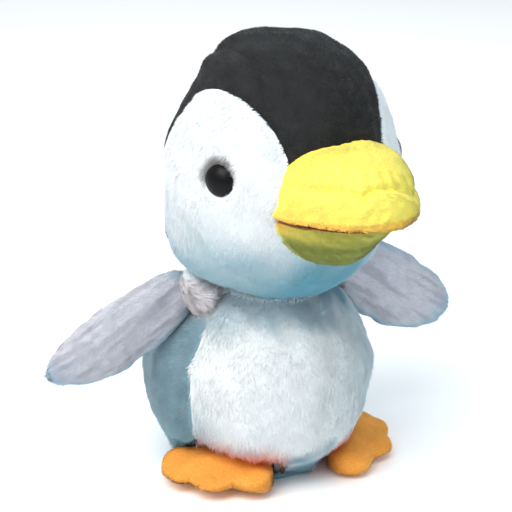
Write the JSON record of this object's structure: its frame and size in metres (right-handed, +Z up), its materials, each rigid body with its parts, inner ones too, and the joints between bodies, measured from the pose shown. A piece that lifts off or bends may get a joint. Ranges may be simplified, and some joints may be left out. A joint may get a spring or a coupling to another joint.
{
  "type": "plush penguin",
  "caption": "Sitting stuffed penguin with a big round head, yellow bill, spread flippers and flat orange feet; the head turns and nods, flippers lift, feet bend.",
  "frame": {"origin": "centre of the flat base panel's underside, on the surface that the penguin stands on", "axes": "+Z up; -Y is the way the penguin faces; -X is the penguin's own right"},
  "size_m": [0.2554, 0.1735, 0.2399],
  "materials": {
    "white_plush": "long-pile white plush, brushed downwards",
    "grey_plush": "short-pile silver-grey plush",
    "black_plush": "short-pile black plush with a soft sheen",
    "yellow_plush": "short-pile yellow plush",
    "orange_plush": "short-pile orange plush",
    "flipper_satin": "light grey short-pile fabric with a satin sheen",
    "filling": "loose polyester fibre",
    "pellet_cloth": "plain woven cotton bag of plastic pellets",
    "mouth_felt": "dark red-brown felt",
    "eye_gloss": "polished black",
    "washer_plastic": "natural moulded plastic"
  },
  "bodies": {
    "torso": {"belly_panel": "white_plush", "back_panel_right": "grey_plush", "back_panel_left": "grey_plush", "base_panel": "grey_plush", "body_stuffing": "filling", "pellet_bag": "pellet_cloth"},
    "neck": {"neck_stuffing": "filling"},
    "head": {"crown_gusset": "black_plush", "cap_side_right": "black_plush", "cap_side_left": "black_plush", "face_panel_right": "white_plush", "face_panel_left": "white_plush", "chin_panel": "white_plush", "head_stuffing": "filling", "upper_bill_cover": "yellow_plush", "upper_bill_stuffing": "filling", "mouth_lining": "mouth_felt", "eye_right": "eye_gloss", "eye_left": "eye_gloss", "eye_washer_right": "washer_plastic", "eye_washer_left": "washer_plastic"},
    "lower_bill": {"lower_bill_cover": "yellow_plush", "lower_bill_stuffing": "filling"},
    "flipper_right": {"flipper_front_right": "flipper_satin", "flipper_back_right": "grey_plush", "flipper_stuffing_right": "filling"},
    "flipper_left": {"flipper_front_left": "flipper_satin", "flipper_back_left": "grey_plush", "flipper_stuffing_left": "filling"},
    "foot_right": {"foot_top_right": "orange_plush", "foot_sole_right": "orange_plush", "foot_stuffing_right": "filling"},
    "foot_left": {"foot_top_left": "orange_plush", "foot_sole_left": "orange_plush", "foot_stuffing_left": "filling"}
  },
  "joints": [
    {"name": "neck_turn", "type": "hinge", "parent": "torso", "child": "neck", "pos_m": [0, -0.00773, 0.10633], "axis": [0, -0.1288, 0.9917], "range_deg": [-30, 30], "stiffness_Nm_per_rad": 0.5},
    {"name": "head_nod", "type": "hinge", "parent": "neck", "child": "head", "pos_m": [0, -0.00773, 0.10633], "axis": [1, 0, 0], "range_deg": [-8, 8], "stiffness_Nm_per_rad": 0.8},
    {"name": "bill_open", "type": "hinge", "parent": "head", "child": "lower_bill", "pos_m": [0, -0.06788, 0.16137], "axis": [1, 0, 0], "range_deg": [0, 10], "stiffness_Nm_per_rad": 0.01, "springref_deg": -2.86},
    {"name": "flipper_lift_right", "type": "hinge", "parent": "torso", "child": "flipper_right", "pos_m": [-0.036, 0, 0.10076], "axis": [0, 1, 0], "range_deg": [-15, 25], "stiffness_Nm_per_rad": 0.05},
    {"name": "flipper_lift_left", "type": "hinge", "parent": "torso", "child": "flipper_left", "pos_m": [0.036, 0, 0.10076], "axis": [0, -1, 0], "range_deg": [-15, 25], "stiffness_Nm_per_rad": 0.05},
    {"name": "foot_bend_right", "type": "hinge", "parent": "torso", "child": "foot_right", "pos_m": [-0.02995, -0.02257, 0.009], "axis": [-0.6018, 0.7986, 0], "range_deg": [0, 20], "stiffness_Nm_per_rad": 0.03, "springref_deg": -1.72},
    {"name": "foot_bend_left", "type": "hinge", "parent": "torso", "child": "foot_left", "pos_m": [0.02995, -0.02257, 0.009], "axis": [-0.6018, -0.7986, 0], "range_deg": [0, 20], "stiffness_Nm_per_rad": 0.03, "springref_deg": -1.72}
  ]
}
